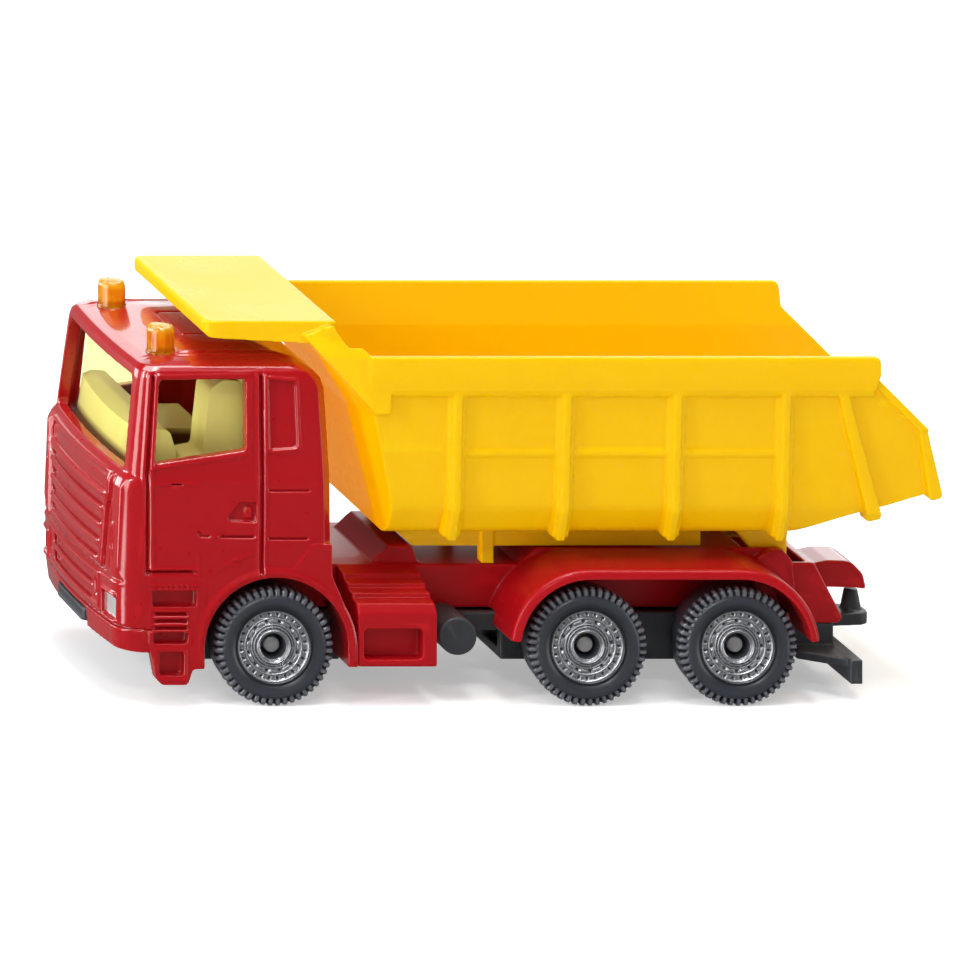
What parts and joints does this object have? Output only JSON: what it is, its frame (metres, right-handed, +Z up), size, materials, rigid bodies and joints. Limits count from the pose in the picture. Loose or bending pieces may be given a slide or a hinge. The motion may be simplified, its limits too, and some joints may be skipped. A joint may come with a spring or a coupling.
{
  "type": "toy dump truck",
  "caption": "Pocket toy dump truck with a cast cab and chassis, rolling axles and an open tipping body hinged at the tail.",
  "frame": {"origin": "on the ground under the middle of the truck's overall length and width", "axes": "+Z up, -Y towards the cab end (front), +X towards the truck's left side"},
  "size_m": [0.0286, 0.0837, 0.0384],
  "materials": {
    "red_paint": "gloss",
    "yellow_plastic": "gloss",
    "clear_amber": "gloss",
    "interior_plastic": "satin",
    "dark_plastic": "satin",
    "bare_metal": "satin",
    "axle_steel": "satin",
    "silver_rim": "foil bright",
    "tyre": "satin"
  },
  "bodies": {
    "chassis": {"cab_shell": "red_paint", "window_and_beacon_moulding": "clear_amber", "cab_interior": "interior_plastic", "chassis_casting": "red_paint", "base_plate": "dark_plastic", "base_rivets": "bare_metal", "tipper_hinge_pin": "bare_metal"},
    "tipper": {"tipping_body": "yellow_plastic"},
    "front_wheels": {"front_axle": "axle_steel", "front_rim_left": "silver_rim", "front_rim_right": "silver_rim", "front_tyre_left": "tyre", "front_tyre_right": "tyre"},
    "mid_wheels": {"mid_axle": "axle_steel", "mid_rim_left": "silver_rim", "mid_rim_right": "silver_rim", "mid_tyre_left": "tyre", "mid_tyre_right": "tyre"},
    "rear_wheels": {"rear_axle": "axle_steel", "rear_rim_left": "silver_rim", "rear_rim_right": "silver_rim", "rear_tyre_left": "tyre", "rear_tyre_right": "tyre"}
  },
  "joints": [
    {"name": "tipper_tilt", "type": "hinge", "parent": "chassis", "child": "tipper", "pos_m": [0, 0.0274, 0.0129], "axis": [-1, 0, 0], "range_deg": [0, 45]},
    {"name": "front_axle_spin", "type": "hinge", "parent": "chassis", "child": "front_wheels", "pos_m": [0, -0.02512, 0.00595], "axis": [1, 0, 0], "continuous": true},
    {"name": "mid_axle_spin", "type": "hinge", "parent": "chassis", "child": "mid_wheels", "pos_m": [0, 0.00637, 0.00595], "axis": [1, 0, 0], "continuous": true},
    {"name": "rear_axle_spin", "type": "hinge", "parent": "chassis", "child": "rear_wheels", "pos_m": [0, 0.02143, 0.00595], "axis": [1, 0, 0], "continuous": true}
  ]
}
